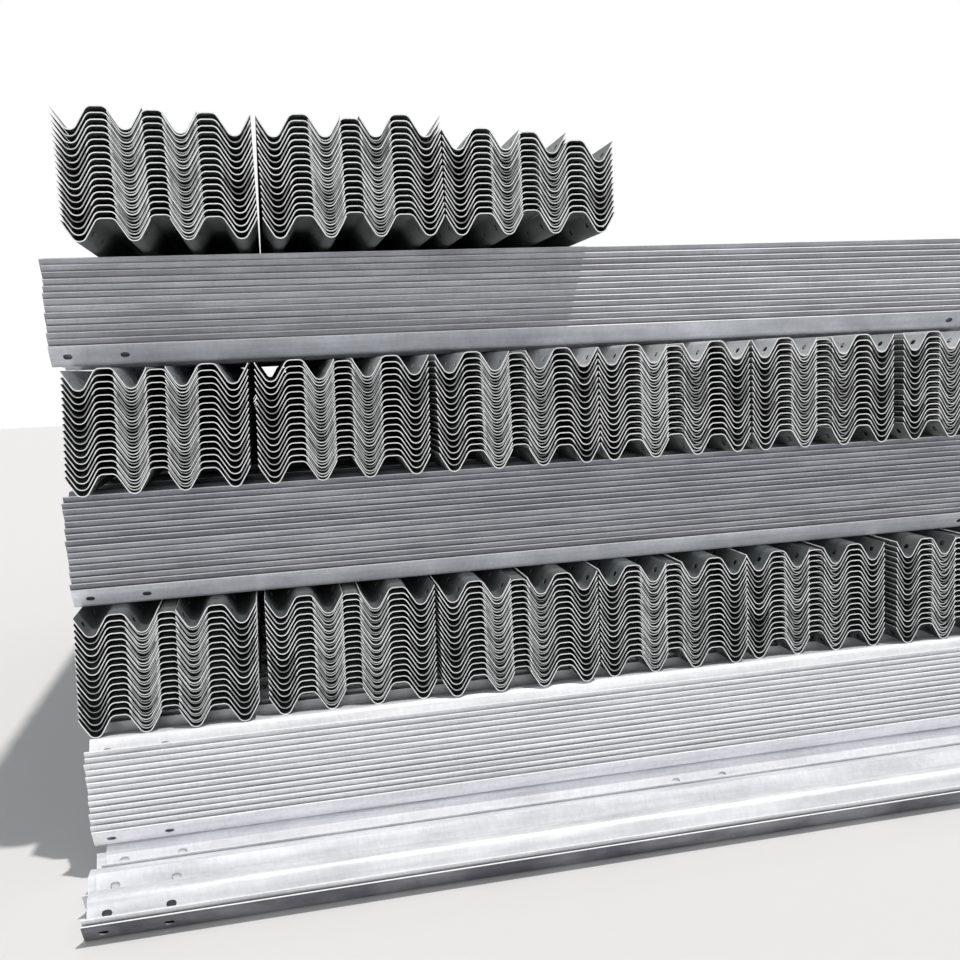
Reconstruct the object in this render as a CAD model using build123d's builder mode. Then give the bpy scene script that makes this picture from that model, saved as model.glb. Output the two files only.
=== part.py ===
from build123d import *
import math
import os

os.makedirs("parts", exist_ok=True)

# Rail: steel strip rolled into two waves, lying with its troughs down
THICKNESS = 4
RAIL_WIDTH = 315
RAIL_HEIGHT = 85
RAIL_LENGTH = 4320
WAVE = 190  # from one trough to the next
CREST_FLAT = 61
TROUGH_FLAT = 30.8
LIP_RISE = 24  # height of the steep edge strip above its bend
LIP_DROP = 5  # end of the edge strip below the crest's top

# Nesting: each column of rails stands one wave beside the next, half a pitch higher
LIP_GAP = 0.15
SLACK_GROUND = 2.1
SLACK_SECOND = 1.7
SLACK_ROW = 2.3
SLACK_FOURTH = 2
SLACK_SIXTH = 3.1
SLACK_TOP = 0.1

# Rails in the left, middle and right column of a bundle
ROW_COUNTS = (17, 16, 17)
GROUND_COUNTS = (2, 1, 2)
SECOND_COUNTS = (14, 13, 14)
FOURTH_COUNTS = (16, 15, 16)
SIXTH_COUNTS = (14, 15, 14)
TOP_COUNTS = ((18, 17, 17), (17, 16, 17), (15, 14, 13))

# How far each column is pushed back from its bundle's end
ROW_STAGGER = (0, 9, -5)
SIDE_STAGGER = (4, -6, 3)
GROUND_STAGGER = (0, 27, -6)

# Left ends of the courses, and the fronts of the lengthwise ones, from the third course's corner
GROUND_LEFT = 51
SECOND_LEFT = 14
FOURTH_LEFT = -23
FIFTH_LEFT = 37
SIXTH_LEFT = -34
TOP_LEFT = 109
GROUND_FRONT = -605
FOURTH_FRONT = 120
SIXTH_FRONT = 200

# Gaps between neighbouring bundles of the crosswise courses, and how far back each bundle starts
THIRD_GAPS = (27, 4, 9, 2, 44)
FIFTH_GAPS = (17, 16, 5, 2, 54)
TOP_GAPS = (15, 2)
THIRD_SETBACKS = (0, 14, -10, 6, 20, -4)
FIFTH_SETBACKS = (20, 26, 12, 24, 8, 18)
TOP_SETBACKS = (-112, -104, -96)

# Lengthwise courses
GROUND_BUNDLES = 7
SECOND_BUNDLES = 6
FOURTH_BUNDLES = 5
SIXTH_BUNDLES = 5
BUNDLE_CLEARANCE = 10

# Heights and widths of the rail that follow from its section
trough_z = THICKNESS / 2
crest_z = RAIL_HEIGHT - THICKNESS / 2
crest_x = CREST_FLAT / 2
trough_in_x = (WAVE - TROUGH_FLAT) / 2
trough_out_x = (WAVE + TROUGH_FLAT) / 2
web_slope = (crest_z - trough_z) / (trough_in_x - crest_x)
lip_x = (RAIL_WIDTH - THICKNESS) / 2
lip_z = RAIL_HEIGHT - LIP_DROP
bend_z = lip_z - LIP_RISE
bend_x = trough_out_x + (bend_z - trough_z) / web_slope

# A rail rests on the edge strips of the column beside it, or on that column's webs
lip_lean = math.atan2(lip_x - bend_x, LIP_RISE)
lip_corner_z = lip_z + THICKNESS / 2 * math.sin(lip_lean)
lip_corner_x = WAVE - lip_x + THICKNESS / 2 * math.cos(lip_lean)
web_half = THICKNESS / 2 * math.hypot(1, web_slope)
underside_z = crest_z - web_slope * (lip_corner_x - crest_x) - web_half
nest_step = max(lip_corner_z - underside_z, 2 * web_half) + LIP_GAP

bundle_width = 2 * WAVE + RAIL_WIDTH


def rail_points():
    """Centre line of the strip, from the left edge to the right one."""
    half = [
        (crest_x, crest_z),
        (trough_in_x, trough_z),
        (trough_out_x, trough_z),
        (bend_x, bend_z),
        (lip_x, lip_z),
    ]
    return [(-x, z) for x, z in reversed(half)] + half


with BuildSketch() as rail_outline:
    with BuildLine(mode=Mode.PRIVATE) as centre_line:
        Polyline(*rail_points())
    trace(centre_line.line, THICKNESS)


def step_of(slack):
    """Height from a rail to the next one beside it."""
    return nest_step + slack / 2


def first_steps(counts):
    """The column that has the most rails starts lowest, with the outer two level."""
    return (1, 0, 1) if counts[1] > counts[0] else (0, 1, 0)


def height_of(counts, slack):
    """Height of a bundle, from its lowest troughs to its highest crests."""
    tops = [first + 2 * (count - 1) for first, count in zip(first_steps(counts), counts)]
    return max(tops) * step_of(slack) + RAIL_HEIGHT


def nested_rails(counts, slack, stagger):
    """A bundle whose rails run along Y, with its underside at height 0 and its middle at the origin."""
    solids = []
    for column in range(3):
        centre_x = (column - 1) * WAVE
        lowest = first_steps(counts)[column]
        heights = [(lowest + 2 * n) * step_of(slack) for n in range(counts[column])]
        with BuildPart() as rails:
            with BuildSketch(Plane.XZ.offset(-RAIL_LENGTH / 2 - stagger[column])):
                with Locations(*[(centre_x, height) for height in heights]):
                    add(rail_outline.sketch)
            extrude(amount=RAIL_LENGTH)
        solids += rails.part.solids()
    return Part(solids)


def evenly(first, last, count):
    """Positions spread from the first to the last."""
    return [first + (last - first) * n / (count - 1) for n in range(count)]


def in_a_row(left, gaps):
    """Left edges of bundles that stand side by side with these gaps."""
    edges = [left]
    for gap in gaps:
        edges.append(edges[-1] + bundle_width + gap)
    return edges


# Depth of the stack behind the crosswise courses, and the step that sets troughs on crests
wave_step = math.ceil((bundle_width + BUNDLE_CLEARANCE) / WAVE) * WAVE
second_front = GROUND_FRONT + 2.5 * WAVE
fourth_back = RAIL_LENGTH - FOURTH_FRONT - bundle_width
sixth_back = RAIL_LENGTH - SIXTH_FRONT - bundle_width

# Undersides of the courses, from the ground up
second_base = height_of(GROUND_COUNTS, SLACK_GROUND)
third_base = second_base + height_of(SECOND_COUNTS, SLACK_SECOND)
fourth_base = third_base + height_of(ROW_COUNTS, SLACK_ROW)
fifth_base = fourth_base + height_of(FOURTH_COUNTS, SLACK_FOURTH)
sixth_base = fifth_base + height_of(ROW_COUNTS, SLACK_ROW)
top_base = sixth_base + height_of(SIXTH_COUNTS, SLACK_SIXTH)

# The origin lies under the middle of the stack's outermost ends
left_end = min(GROUND_LEFT, SECOND_LEFT, FOURTH_LEFT, SIXTH_LEFT) - max(SIDE_STAGGER)
right_end = GROUND_LEFT + RAIL_LENGTH - min(GROUND_STAGGER)
front_end = GROUND_FRONT
back_end = GROUND_FRONT + (GROUND_BUNDLES - 1) * wave_step + bundle_width
middle_x = (left_end + right_end) / 2
middle_y = (front_end + back_end) / 2


def lengthwise_plane(left, front, base):
    """Plane of a bundle whose rails run along X, from its left end and its front edge."""
    centre = (left + RAIL_LENGTH / 2 - middle_x, front + bundle_width / 2 - middle_y, base)
    return Plane(origin=centre, x_dir=(0, 1, 0), z_dir=(0, 0, 1))


def crosswise_plane(left, front, base):
    """Plane of a bundle whose rails run along Y, from its left edge and its front end."""
    centre = (left + bundle_width / 2 - middle_x, front + RAIL_LENGTH / 2 - middle_y, base)
    return Plane(origin=centre, x_dir=(1, 0, 0), z_dir=(0, 0, 1))


def place_course(name, rails, planes):
    """Write a course's bundles, numbered from the front or from the left."""
    for number, (kind, plane) in enumerate(zip(rails, planes), start=1):
        bundle = kind.moved(plane.location)
        bundle.label = f"{name}_bundle_{number}"
        export_step(bundle, f"parts/{bundle.label}.step", write_pcurves=False)


# Ground course, lengthwise, reaching out in front
ground_rails = nested_rails(GROUND_COUNTS, SLACK_GROUND, GROUND_STAGGER)
ground_fronts = [GROUND_FRONT + n * wave_step for n in range(GROUND_BUNDLES)]
place_course(
    "ground_course",
    [ground_rails] * GROUND_BUNDLES,
    [lengthwise_plane(GROUND_LEFT, front, 0) for front in ground_fronts],
)

# Second course, lengthwise, its troughs standing on the ground course's crests
second_rails = nested_rails(SECOND_COUNTS, SLACK_SECOND, SIDE_STAGGER)
second_fronts = [second_front + n * wave_step for n in range(SECOND_BUNDLES)]
place_course(
    "second_course",
    [second_rails] * SECOND_BUNDLES,
    [lengthwise_plane(SECOND_LEFT, front, second_base) for front in second_fronts],
)

# Third course, crosswise
row_rails = nested_rails(ROW_COUNTS, SLACK_ROW, ROW_STAGGER)
third_lefts = in_a_row(0, THIRD_GAPS)
place_course(
    "third_course",
    [row_rails] * len(third_lefts),
    [crosswise_plane(left, back, third_base) for left, back in zip(third_lefts, THIRD_SETBACKS)],
)

# Fourth course, lengthwise
fourth_rails = nested_rails(FOURTH_COUNTS, SLACK_FOURTH, SIDE_STAGGER)
fourth_fronts = evenly(FOURTH_FRONT, fourth_back, FOURTH_BUNDLES)
place_course(
    "fourth_course",
    [fourth_rails] * FOURTH_BUNDLES,
    [lengthwise_plane(FOURTH_LEFT, front, fourth_base) for front in fourth_fronts],
)

# Fifth course, crosswise
fifth_lefts = in_a_row(FIFTH_LEFT, FIFTH_GAPS)
place_course(
    "fifth_course",
    [row_rails] * len(fifth_lefts),
    [crosswise_plane(left, back, fifth_base) for left, back in zip(fifth_lefts, FIFTH_SETBACKS)],
)

# Sixth course, lengthwise, standing on its middle columns
sixth_rails = nested_rails(SIXTH_COUNTS, SLACK_SIXTH, SIDE_STAGGER)
sixth_fronts = evenly(SIXTH_FRONT, sixth_back, SIXTH_BUNDLES)
place_course(
    "sixth_course",
    [sixth_rails] * SIXTH_BUNDLES,
    [lengthwise_plane(SIXTH_LEFT, front, sixth_base) for front in sixth_fronts],
)

# Top course, crosswise, half as wide and unevenly filled
top_lefts = in_a_row(TOP_LEFT, TOP_GAPS)
place_course(
    "top_course",
    [nested_rails(counts, SLACK_TOP, ROW_STAGGER) for counts in TOP_COUNTS],
    [crosswise_plane(left, back, top_base) for left, back in zip(top_lefts, TOP_SETBACKS)],
)
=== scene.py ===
import math
import random
from typing import NamedTuple

import bpy
import numpy as np
from mathutils import Matrix, Vector
from mathutils.geometry import tessellate_polygon


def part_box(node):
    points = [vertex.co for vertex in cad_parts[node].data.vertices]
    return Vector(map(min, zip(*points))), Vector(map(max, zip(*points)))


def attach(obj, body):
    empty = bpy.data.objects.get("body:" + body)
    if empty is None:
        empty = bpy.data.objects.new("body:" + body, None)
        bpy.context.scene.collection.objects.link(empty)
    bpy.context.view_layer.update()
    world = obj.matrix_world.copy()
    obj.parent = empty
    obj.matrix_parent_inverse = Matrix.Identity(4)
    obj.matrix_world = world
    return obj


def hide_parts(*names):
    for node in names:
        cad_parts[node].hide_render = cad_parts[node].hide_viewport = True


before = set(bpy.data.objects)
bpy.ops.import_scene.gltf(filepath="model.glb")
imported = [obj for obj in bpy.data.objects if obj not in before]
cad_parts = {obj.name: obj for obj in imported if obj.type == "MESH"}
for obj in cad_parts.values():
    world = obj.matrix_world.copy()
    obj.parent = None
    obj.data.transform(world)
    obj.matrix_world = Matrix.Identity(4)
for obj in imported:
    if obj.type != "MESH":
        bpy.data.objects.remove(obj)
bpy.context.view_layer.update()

MM = 0.001
THICKNESS = 4 * MM
RAIL_HEIGHT = 85 * MM
RAIL_LENGTH = 4320 * MM
WAVE = 190 * MM  # from one trough to the next, and from one column of rails to the next

# Right half of the strip's centre line, from the crest to the lip: x, z and bend radius in mm
HALF_SECTION = [(30.5, 83, 27), (79.6, 2, 26), (110.4, 2, 26), (143.1, 56, 30)]
LIP_TIP = (155.5, 80, 0)
EDGE_BEVEL = 2 * MM  # the strip's outer side ends this much short of its inner side
ARC_STEPS = 4
SHORT_ARC_STEPS = 1
SHORT_TURN = math.radians(15)
CLOSEST_POINTS = 0.5  # in mm
SHARP_ANGLE = math.radians(35)

# Slots through the four webs, near both ends
SLOT_LENGTH = 36 * MM
SLOT_WIDTH = 24 * MM
SLOT_HEIGHT = 38 * MM  # of its middle, above the rail's underside
SLOT_FROM_END = 67 * MM
SLOT_SPACING = 216 * MM
SLOT_ARC_STEPS = 4
STEEP_RISE = 25 * MM  # a stretch of the section that rises more than this is a web
END_SLOTS = [
    end * (RAIL_LENGTH / 2 - place)
    for end in (-1, 1)
    for place in (SLOT_FROM_END, SLOT_FROM_END + SLOT_SPACING)
]

# One rail of the ground course has a second pair, this far from its middle
LONG_RAIL_BUNDLE = "ground_course_bundle_1"
LONG_RAIL_COLUMN = 2
LONG_RAIL_SLOTS = [-187 * MM, -403 * MM]

# Rails in the left, middle and right column of each bundle, and how far each column is pushed back
COURSES = {
    "ground_course": ([(2, 1, 2)] * 7, (0, 27, -6), "lengthwise"),
    "second_course": ([(14, 13, 14)] * 6, (4, -6, 3), "lengthwise"),
    "third_course": ([(17, 16, 17)] * 6, (0, 9, -5), "crosswise"),
    "fourth_course": ([(16, 15, 16)] * 5, (4, -6, 3), "lengthwise"),
    "fifth_course": ([(17, 16, 17)] * 6, (0, 9, -5), "crosswise"),
    "sixth_course": ([(14, 15, 14)] * 5, (4, -6, 3), "lengthwise"),
    "top_course": ([(18, 17, 17), (17, 16, 17), (15, 14, 13)], (0, 9, -5), "crosswise"),
}

# Small unevenness: how far a rail's ends are drawn in, and the step at which rails would touch
END_SPREAD = {"lengthwise": 9 * MM, "crosswise": 4 * MM}
TIGHT_STEP = 11.4 * MM

# Bundles that lean: sideways shift to the left for each metre down
LEANS = {
    "third_course_bundle_1": 0.04,
    "third_course_bundle_2": 0.025,
    "fifth_course_bundle_1": 0.05,
    "fifth_course_bundle_2": 0.03,
}

# Bundles that lie askew: sideways shift for each metre back
SKEWS = {"top_course_bundle_1": -0.0019, "top_course_bundle_2": -0.0039}


class ZincAndPaintedLight(NamedTuple):
    """Zinc of a course: its colours, darkened or paled course by course as painted shade and light, and
    the tone of its rails by height, 0 dark and 1 light, which is painted light and shade too.
    """

    dark: tuple
    light: tuple
    lowest: float  # the lowest rail of each column
    low: float  # the one above it
    high: float  # the last but one
    top: float  # the highest one
    spread: float  # how far the tones vary
    seam_shade: float  # darkest painted shade in the seam above the next lower rail's lip


# Painted light and shade: the shaded courses (third, fourth, sixth, top) get darker zinc and the lit ones
# paler zinc. The second course's top rails carry painted shade from the course above, and the fifth's top
# rails carry painted sunlight. The lowest rails of the fourth and sixth carry painted bounce light, and
# the ground course's lowest rails carry painted shadow. The random spread is the zinc's own.
ZINC_AND_PAINTED_LIGHT = {
    "ground_course": ZincAndPaintedLight(
        dark=(0.1, 0.1, 0.12), light=(0.86, 0.87, 0.9),
        lowest=0.08, low=0.9, high=0.9, top=0.97, spread=0.04, seam_shade=0.4,
    ),
    "second_course": ZincAndPaintedLight(
        dark=(0.58, 0.59, 0.61), light=(0.92, 0.92, 0.94),
        lowest=0.95, low=0.95, high=0.8, top=0.8, spread=0.12, seam_shade=0.4,
    ),
    "third_course": ZincAndPaintedLight(
        dark=(0.045, 0.05, 0.05), light=(0.2, 0.22, 0.22),
        lowest=0.3, low=0.3, high=0.45, top=0.6, spread=0.25, seam_shade=0.8,
    ),
    "fourth_course": ZincAndPaintedLight(
        dark=(0.23, 0.23, 0.27), light=(0.9, 0.92, 0.97),
        lowest=0.85, low=0.2, high=0.1, top=0.1, spread=0.1, seam_shade=0.8,
    ),
    "fifth_course": ZincAndPaintedLight(
        dark=(0.05, 0.055, 0.055), light=(0.85, 0.87, 0.87),
        lowest=0.15, low=0.05, high=0.15, top=0.75, spread=0.1, seam_shade=0.8,
    ),
    "sixth_course": ZincAndPaintedLight(
        dark=(0.27, 0.27, 0.3), light=(0.85, 0.87, 0.92),
        lowest=0.6, low=0.2, high=0.15, top=0.12, spread=0.1, seam_shade=0.8,
    ),
    "top_course": ZincAndPaintedLight(
        dark=(0.06, 0.07, 0.065), light=(0.36, 0.38, 0.38),
        lowest=0.25, low=0.15, high=0.4, top=0.5, spread=0.2, seam_shade=0.8,
    ),
}

# Channels of the rails' look: tone with painted light and shade, painted seam shade, and the cut edges'
# tone
RAIL_TONE = "X"
SEAM_SHADE = "Y"
EDGE_TONE = "Z"

# Unevenness of the zinc, with noise scales across the rail, along it and from rail to rail
STREAK_SCALE = (55, 1.6, 1)
STREAK_RANGE = (0.3, 0.6)
CLOUD_SCALE = (9, 3, 1)
CLOUD_RANGE = (0.3, 0.7)  # noise of the darkest and of the lightest cloud
CLOUD_TONE = 0.16  # how far the clouds shift a rail's tone
SPANGLE_SCALE = 90
SPANGLE_SHADES = (0.93, 1.05)
NOISE_RANGE = 50  # rails take their noise from places up to this far apart
ROUGHNESS_SPREAD = 0.1
# Painted shade in the seams: each rail darkens below these heights, which shows as a line just above the
# next lower rail's lip
SEAM_LOW = 56 * MM
SEAM_HIGH = 65 * MM
DASH_RANGE = (0.4, 0.5)  # noise over which the painted shade in a seam breaks off
DASH_FAINTEST = 0.3


def left_normal(angle):
    """Unit vector to the left of a direction."""
    return Vector((-math.sin(angle), math.cos(angle)))


def direction(start, end):
    """Angle of the way from one point to another."""
    return math.atan2(end[1] - start[1], end[0] - start[0])


def rounded_line(corners):
    """Points and normals along a line whose inner corners, as x, z and radius, are arcs."""
    line = [(Vector(corners[0][:2]), left_normal(direction(corners[0], corners[1])))]
    for before, corner, after in zip(corners, corners[1:], corners[2:]):
        way_in = direction(before, corner)
        turn = direction(corner, after) - way_in
        radius = math.copysign(corner[2], turn)
        back = abs(radius * math.tan(turn / 2))
        start = Vector(corner[:2]) - back * Vector((math.cos(way_in), math.sin(way_in)))
        centre = start + radius * left_normal(way_in)
        steps = ARC_STEPS if abs(turn) > SHORT_TURN else SHORT_ARC_STEPS
        for step in range(steps + 1):
            normal = left_normal(way_in + turn * step / steps)
            point = centre - radius * normal
            if (point - line[-1][0]).length > CLOSEST_POINTS:
                line.append((point, normal))
    line.append((Vector(corners[-1][:2]), left_normal(direction(corners[-2], corners[-1]))))
    return line


def section():
    """Upper and lower points of the rail's section, in metres, from the left lip to the right one."""
    right = HALF_SECTION + [LIP_TIP]
    left = [(-x, z, radius) for x, z, radius in reversed(right)]
    line = [(point * MM, normal) for point, normal in rounded_line(left + right)]
    upper = [point + normal * THICKNESS / 2 for point, normal in line]
    lower = [point - normal * THICKNESS / 2 for point, normal in line]
    for tip, before in ((0, 1), (-1, -2)):
        lower[tip] -= (lower[tip] - lower[before]).normalized() * EDGE_BEVEL
    return upper, lower


def slot_outline(middle):
    """Points of a slot round its middle, as place along the rail and place up the web."""
    points = []
    for side in (1, -1):
        for step in range(SLOT_ARC_STEPS + 1):
            angle = math.pi * step / SLOT_ARC_STEPS - math.pi / 2
            along = side * ((SLOT_LENGTH - SLOT_WIDTH) / 2 + SLOT_WIDTH / 2 * math.cos(angle))
            points.append((middle[0] + along, middle[1] + side * SLOT_WIDTH / 2 * math.sin(angle)))
    return points


class Template:
    """Corners, faces and face materials of one rail, its length along Y and its middle at the origin."""

    def __init__(self, slots):
        self.points = []
        self.faces = []
        self.cut = []
        self.upper, self.lower = section()
        last = len(self.upper) - 1
        webs = []
        if slots:
            webs = [n for n in range(last) if abs(self.upper[n + 1][1] - self.upper[n][1]) > STEEP_RISE]
        rows = [
            [self.add(x, end * RAIL_LENGTH / 2, z) for x, z in side]
            for side in (self.upper, self.lower)
            for end in (-1, 1)
        ]
        upper_front, upper_back, lower_front, lower_back = rows
        for n in range(last):
            if n in webs:
                self.slotted_web(n, slots)
            else:
                self.face((upper_front[n], upper_front[n + 1], upper_back[n + 1], upper_back[n]))
                self.face((lower_front[n + 1], lower_front[n], lower_back[n], lower_back[n + 1]))
            self.face((upper_front[n + 1], upper_front[n], lower_front[n], lower_front[n + 1]), True)
            self.face((upper_back[n], upper_back[n + 1], lower_back[n + 1], lower_back[n]), True)
        self.face((upper_front[0], upper_back[0], lower_back[0], lower_front[0]), True)
        self.face((lower_front[last], lower_back[last], upper_back[last], upper_front[last]), True)

    def add(self, x, y, z):
        self.points.append((x, y, z))
        return len(self.points) - 1

    def face(self, corners, cut=False):
        self.faces.append(corners)
        self.cut.append(cut)

    def slotted_web(self, n, slots):
        """One web's upper and lower side, pierced by the slots, and the slots' walls."""
        low, high = self.lower[n], self.lower[n + 1]
        middle_z = [(a[1] + b[1]) / 2 for a, b in zip(self.upper[n:n + 2], self.lower[n:n + 2])]
        share = (SLOT_HEIGHT - middle_z[0]) / (middle_z[1] - middle_z[0])
        length = (high - low).length
        half = RAIL_LENGTH / 2
        rings = [[(-half, 0), (half, 0), (half, length), (-half, length)]]
        rings += [slot_outline((place, share * length)) for place in slots]
        triangles = tessellate_polygon([[Vector((u, v, 0)) for u, v in ring] for ring in rings])
        flat = [point for ring in rings for point in ring]
        sides = []
        for start, end in ((self.upper[n], self.upper[n + 1]), (self.lower[n], self.lower[n + 1])):
            corners = [start + (end - start) * v / length for u, v in flat]
            sides.append([self.add(c[0], u, c[1]) for c, (u, v) in zip(corners, flat)])
        for a, b, c in triangles:
            (ua, va), (ub, vb), (uc, vc) = flat[a], flat[b], flat[c]
            if (ub - ua) * (vc - va) - (uc - ua) * (vb - va) > 0:
                b, c = c, b
            self.face((sides[0][a], sides[0][b], sides[0][c]))
            self.face((sides[1][c], sides[1][b], sides[1][a]))
        first = len(rings[0])
        for ring in rings[1:]:
            for step in range(len(ring)):
                a, b = first + step, first + (step + 1) % len(ring)
                self.face((sides[0][a], sides[0][b], sides[1][b], sides[1][a]))
            first += len(ring)


def tone_of(zinc_and_light, n, count):
    """Tone of the nth rail of a column, counted from below: painted light and shade by height, with a
    random spread of its own.
    """
    if n == 0 and count > 1:
        return zinc_and_light.lowest
    tone = zinc_and_light.top if n == count - 1 else zinc_and_light.low + (zinc_and_light.high - zinc_and_light.low) * n / count
    return tone + random.uniform(-zinc_and_light.spread, zinc_and_light.spread)


def template_of(name, column, n, count, outermost):
    """Template of a rail, which has slots in outermost columns and at a bundle's top and bottom."""
    if name == LONG_RAIL_BUNDLE and column == LONG_RAIL_COLUMN and n == count - 1:
        return LONG_SLOTTED
    return SLOTTED if outermost or n in (0, count - 1) else PLAIN


def first_steps(counts):
    """The column that has the most rails starts lowest, with the outer two level."""
    return (1, 0, 1) if counts[1] > counts[0] else (0, 1, 0)


class Rails:
    """Rails of one bundle, gathered as one mesh with the attributes that the zinc reads."""

    def __init__(self):
        self.points = []
        self.faces = []
        self.cut = []
        self.rises = []
        self.looks = []
        self.places = []

    def add(self, template, placed, look, offset):
        """One rail, from its points in place, its look and the place of its noise."""
        first = len(self.points)
        self.points += placed
        self.faces += [tuple(first + corner for corner in face) for face in template.faces]
        self.cut += template.cut
        self.rises += [z for x, y, z in template.points]
        self.looks += [look] * len(placed)
        self.places += [(x, y, offset) for x, y, z in template.points]

    def make(self, name, materials):
        """The mesh as a piece that replaces the bundle's CAD node."""
        mesh = bpy.data.meshes.new(name + "_rails")
        mesh.from_pydata(self.points, [], self.faces)
        mesh.polygons.foreach_set("material_index", np.array(self.cut, dtype=np.int32))
        for title, kind, key, values in (
            ("rail_rise", "FLOAT", "value", self.rises),
            ("rail_look", "FLOAT_VECTOR", "vector", self.looks),
            ("rail_place", "FLOAT_VECTOR", "vector", self.places),
        ):
            attribute = mesh.attributes.new(title, kind, "POINT")
            attribute.data.foreach_set(key, np.array(values, dtype=np.float32).ravel())
        for material in materials:
            mesh.materials.append(material)
        mesh.shade_smooth()
        mesh.set_sharp_from_angle(angle=SHARP_ANGLE)
        piece = bpy.data.objects.new(name + "_rails", mesh)
        bpy.context.scene.collection.objects.link(piece)
        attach(piece, "root")
        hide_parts(name)


def bundle(name, counts, stagger, way, outermost, zinc_and_light, materials):
    """A bundle's rails, in the place of its CAD node."""
    low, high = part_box(name)
    across, along, forward = (0, 1, 1) if way == "crosswise" else (1, 0, -1)
    starts = first_steps(counts)
    tops = [first + 2 * (count - 1) for first, count in zip(starts, counts)]
    step = (high[2] - low[2] - RAIL_HEIGHT) / max(tops)
    middle_across = (low[across] + high[across]) / 2
    middle_along = low[along] - min(forward * push for push in stagger) * MM + RAIL_LENGTH / 2
    lean = LEANS.get(name, 0)
    skew = SKEWS.get(name, 0)
    spread = (step - TIGHT_STEP) / 2
    levels = range(max(counts))
    uneven = [random.uniform(-spread, spread) if 0 < n < min(counts) - 1 else 0 for n in levels]
    rails = Rails()
    for column, count in enumerate(counts):
        for n in range(count):
            template = template_of(name, column, n, count, column in outermost)
            height = low[2] + (starts[column] + 2 * n) * step + uneven[n]
            sideways = middle_across + (column - 1) * WAVE - lean * (high[2] - height)
            drawn_in = [random.uniform(0, END_SPREAD[way]) for end in range(2)]
            stretch = 1 - sum(drawn_in) / RAIL_LENGTH
            shift = stagger[column] * MM + (drawn_in[0] - drawn_in[1]) / 2
            placed = []
            for x, y, z in template.points:
                spot = [0, 0, height + z]
                spot[along] = middle_along + forward * (shift + y * stretch)
                spot[across] = sideways + x + skew * (spot[along] - low[along])
                placed.append(spot)
            # Painted shade in the seam above the next lower rail's lip, of random depth, and none where
            # the seam is hidden
            hidden_seam = n in (0, count - 1)
            seam = 0 if hidden_seam else zinc_and_light.seam_shade * random.random()
            look = (tone_of(zinc_and_light, n, count), seam, random.random())
            rails.add(template, placed, look, random.uniform(0, NOISE_RANGE))
    rails.make(name, materials)


def node(tree, kind, **settings):
    """A shader node with its sockets and properties set."""
    made = tree.nodes.new(kind)
    for key, value in settings.items():
        if key in made.inputs:
            made.inputs[key].default_value = value
        else:
            setattr(made, key, value)
    return made


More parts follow.
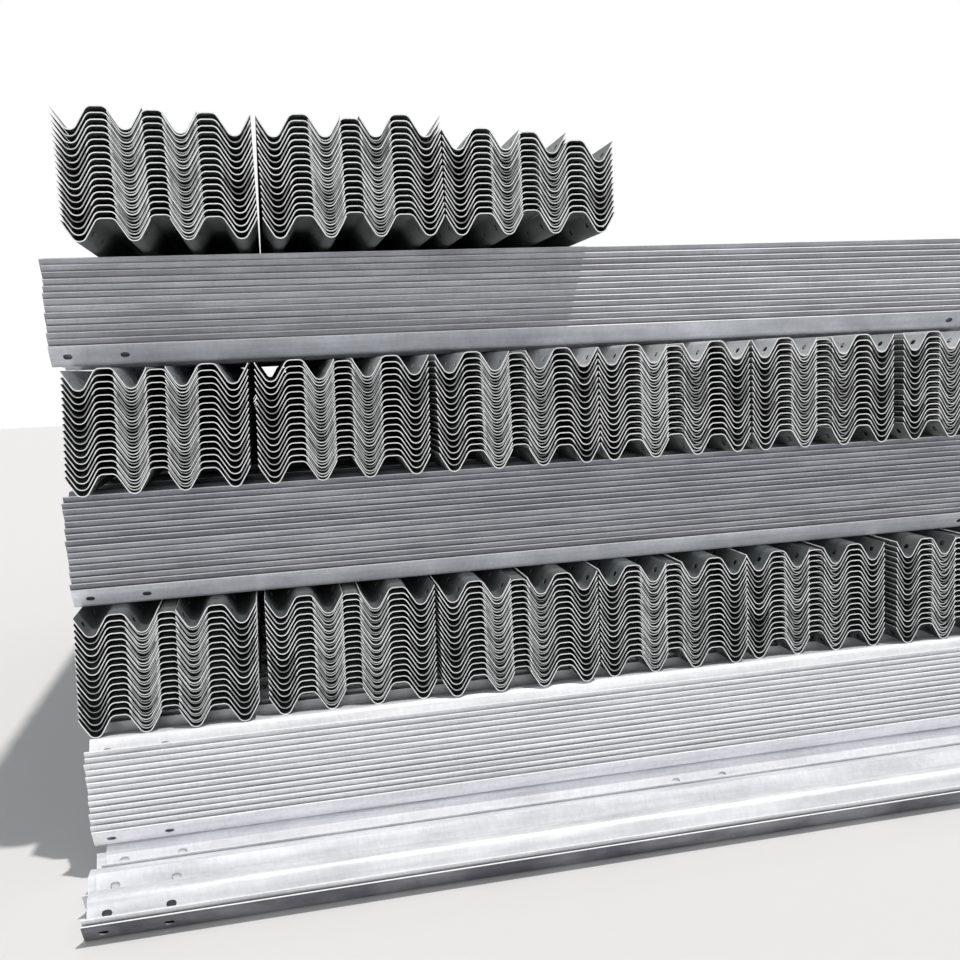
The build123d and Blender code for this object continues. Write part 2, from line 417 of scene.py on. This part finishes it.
def zinc(name, dark, light, tone_channel, streak, metallic, roughness):
    """Hot-dip galvanized steel: a tone on each rail, partly its own and partly painted light and shade by
    height, streaks, clouds, spangle and painted shade in the seams.
    """
    material = bpy.data.materials.new(name)
    material.use_nodes = True
    tree = material.node_tree
    link = tree.links.new
    shader = tree.nodes["Principled BSDF"]
    shader.inputs["Metallic"].default_value = metallic

    place = node(tree, "ShaderNodeAttribute", attribute_name="rail_place")
    look = node(tree, "ShaderNodeAttribute", attribute_name="rail_look")
    rise = node(tree, "ShaderNodeAttribute", attribute_name="rail_rise")
    channels = node(tree, "ShaderNodeSeparateXYZ")
    link(look.outputs["Vector"], channels.inputs[0])

    def noise(space, detail, rough):
        """Noise in the rail's own space, stretched along it."""
        mapping = node(tree, "ShaderNodeMapping", Scale=space)
        texture = node(tree, "ShaderNodeTexNoise", Scale=1.0, Detail=detail, Roughness=rough)
        link(place.outputs["Vector"], mapping.inputs["Vector"])
        link(mapping.outputs["Vector"], texture.inputs["Vector"])
        return texture.outputs["Fac"]

    def spread(value, low, high, to_low, to_high):
        """A value mapped from one range to another."""
        ramp = node(tree, "ShaderNodeMapRange")
        for key, number in zip(("From Min", "From Max", "To Min", "To Max"), (low, high, to_low, to_high)):
            ramp.inputs[key].default_value = number
        link(value, ramp.inputs["Value"])
        return ramp.outputs["Result"]

    def multiplied(colour, factor):
        """A colour times a factor."""
        mix = node(tree, "ShaderNodeMix", data_type="RGBA", blend_type="MULTIPLY")
        mix.inputs["Factor"].default_value = 1
        link(colour, mix.inputs["A"])
        link(factor, mix.inputs["B"])
        return mix.outputs["Result"]

    streaks = noise(STREAK_SCALE, detail=5.0, rough=0.6)
    clouds = noise(CLOUD_SCALE, detail=4.0, rough=0.55)
    spangle = node(tree, "ShaderNodeTexVoronoi", Scale=SPANGLE_SCALE)
    link(place.outputs["Vector"], spangle.inputs["Vector"])

    # The rail's tone (painted light and shade by height on the faces, a random tone on the cut edges),
    # shifted by the zinc's own clouds
    blend = node(tree, "ShaderNodeMath", operation="ADD")
    link(channels.outputs[tone_channel], blend.inputs[0])
    link(spread(clouds, *CLOUD_RANGE, -CLOUD_TONE, CLOUD_TONE), blend.inputs[1])
    base = node(tree, "ShaderNodeMix", data_type="RGBA")
    base.inputs["A"].default_value = (*dark, 1)
    base.inputs["B"].default_value = (*light, 1)
    link(blend.outputs[0], base.inputs["Factor"])

    # Painted shade in the seams, broken into dashes by the clouds
    seam = node(tree, "ShaderNodeMath", operation="MULTIPLY")
    link(spread(rise.outputs["Fac"], SEAM_LOW, SEAM_HIGH, 1, 0), seam.inputs[0])
    link(channels.outputs[SEAM_SHADE], seam.inputs[1])
    broken = node(tree, "ShaderNodeMath", operation="MULTIPLY")
    link(seam.outputs[0], broken.inputs[0])
    link(spread(clouds, *DASH_RANGE, DASH_FAINTEST, 1), broken.inputs[1])

    colour = multiplied(base.outputs["Result"], spread(streaks, *STREAK_RANGE, 1 - streak, 1))
    colour = multiplied(colour, spread(spangle.outputs["Color"], 0, 1, *SPANGLE_SHADES))
    colour = multiplied(colour, spread(broken.outputs[0], 0, 1, 1, 0))
    link(colour, shader.inputs["Base Color"])
    roughest = roughness + ROUGHNESS_SPREAD
    smoothest = roughness - ROUGHNESS_SPREAD
    link(spread(clouds, 0, 1, smoothest, roughest), shader.inputs["Roughness"])
    return material


def sun(name, energy, colour, way, angle):
    """A sun lamp that shines this way."""
    light = bpy.data.lights.new(name, "SUN")
    light.energy = energy
    light.color = colour
    light.angle = angle
    holder = bpy.data.objects.new(name, light)
    bpy.context.scene.collection.objects.link(holder)
    holder.location = -way * LAMP_DISTANCE
    holder.rotation_mode = "QUATERNION"
    holder.rotation_quaternion = way.to_track_quat("-Z", "Y")


# Rails
random.seed(7)
PLAIN = Template([])
SLOTTED = Template(END_SLOTS)
LONG_SLOTTED = Template(END_SLOTS + LONG_RAIL_SLOTS)
# The cut ends and lip edges are paler than the faces: partly the sheared edges' own brightness, partly a
# painted highlight of the lit rims
EDGE_ZINC_AND_HIGHLIGHT = zinc(
    "cut_edge_and_painted_highlight", (0.8, 0.8, 0.8), (0.96, 0.96, 0.95), EDGE_TONE, streak=0.08, metallic=0, roughness=0.6
)

for course, (bundle_counts, stagger, way) in COURSES.items():
    zinc_and_light = ZINC_AND_PAINTED_LIGHT[course]
    # Each course's zinc carries painted light and shade in its colours and rail tones
    surface = zinc(
        course + "_zinc", zinc_and_light.dark, zinc_and_light.light, RAIL_TONE, streak=0.2, metallic=0.3, roughness=0.5
    )
    for number, counts in enumerate(bundle_counts, start=1):
        outermost = [0] if number == 1 else []
        if number == len(bundle_counts):
            outermost.append(2)
        bundle(f"{course}_bundle_{number}", counts, stagger, way, outermost, zinc_and_light, [surface, EDGE_ZINC_AND_HIGHLIGHT])

# Camera, set from the front left corner of the third course
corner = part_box("third_course_bundle_1")[0]
CAMERA_FROM_CORNER = Vector((0.8054, -3.8923, 0))
CAMERA_HEIGHT = 1.9019
CAMERA_RIGHT = Vector((0.9764, -0.2107, -0.0465))
CAMERA_UP = Vector((0.0704, 0.1073, 0.9917))
FOCAL_LENGTH = 36.39
SENSOR_WIDTH = 36
camera = bpy.data.objects.new("camera", bpy.data.cameras.new("camera"))
bpy.context.scene.collection.objects.link(camera)
camera.data.lens = FOCAL_LENGTH
camera.data.sensor_width = SENSOR_WIDTH
back_way = CAMERA_RIGHT.cross(CAMERA_UP)
turned = Matrix((CAMERA_RIGHT, CAMERA_UP, back_way)).transposed().to_4x4()
spot = Vector((corner[0] + CAMERA_FROM_CORNER[0], corner[1] + CAMERA_FROM_CORNER[1], CAMERA_HEIGHT))
camera.matrix_world = Matrix.Translation(spot) @ turned
bpy.context.scene.camera = camera

# Floor
FLOOR_SIZE = 80
FLOOR_COLOUR = (0.8, 0.79, 0.78, 1)
FLOOR_ROUGHNESS = 0.9
bpy.ops.mesh.primitive_plane_add(size=FLOOR_SIZE, location=(0, 0, 0))
floor = bpy.context.object
floor.name = "floor"
floor_material = bpy.data.materials.new("floor")
floor_material.use_nodes = True
floor_shader = floor_material.node_tree.nodes["Principled BSDF"]
floor_shader.inputs["Base Color"].default_value = FLOOR_COLOUR
floor_shader.inputs["Roughness"].default_value = FLOOR_ROUGHNESS
floor.data.materials.append(floor_material)

# Light: a key from high up on the right, a soft fill from the front, and the pale surroundings
LAMP_DISTANCE = 8
KEY_WAY = Vector((-0.32, 0.18, -1.15))
FILL_WAY = Vector((0.15, 1, -0.15))
sun("key", 2.2, (1, 0.985, 0.96), KEY_WAY, math.radians(2))
sun("fill", 0.95, (0.96, 0.98, 1), FILL_WAY, math.radians(30))

SURROUNDINGS_COLOUR = (0.93, 0.96, 1, 1)
SURROUNDINGS_STRENGTH = 0.36
world = bpy.data.worlds.new("world")
bpy.context.scene.world = world
world.use_nodes = True
tree = world.node_tree
surroundings = tree.nodes["Background"]
surroundings.inputs["Color"].default_value = SURROUNDINGS_COLOUR
surroundings.inputs["Strength"].default_value = SURROUNDINGS_STRENGTH
backdrop = node(tree, "ShaderNodeBackground", Color=(1, 1, 1, 1), Strength=1.0)
rays = node(tree, "ShaderNodeLightPath")
seen = node(tree, "ShaderNodeMath", operation="MAXIMUM")
glassy = node(tree, "ShaderNodeMath", operation="MAXIMUM")
choice = node(tree, "ShaderNodeMixShader")
tree.links.new(rays.outputs["Is Camera Ray"], seen.inputs[0])
tree.links.new(rays.outputs["Is Glossy Ray"], seen.inputs[1])
tree.links.new(seen.outputs[0], glassy.inputs[0])
tree.links.new(rays.outputs["Is Transmission Ray"], glassy.inputs[1])
tree.links.new(glassy.outputs[0], choice.inputs["Fac"])
tree.links.new(surroundings.outputs[0], choice.inputs[1])
tree.links.new(backdrop.outputs[0], choice.inputs[2])
tree.links.new(choice.outputs[0], tree.nodes["World Output"].inputs["Surface"])

bpy.context.scene.view_settings.view_transform = "Standard"
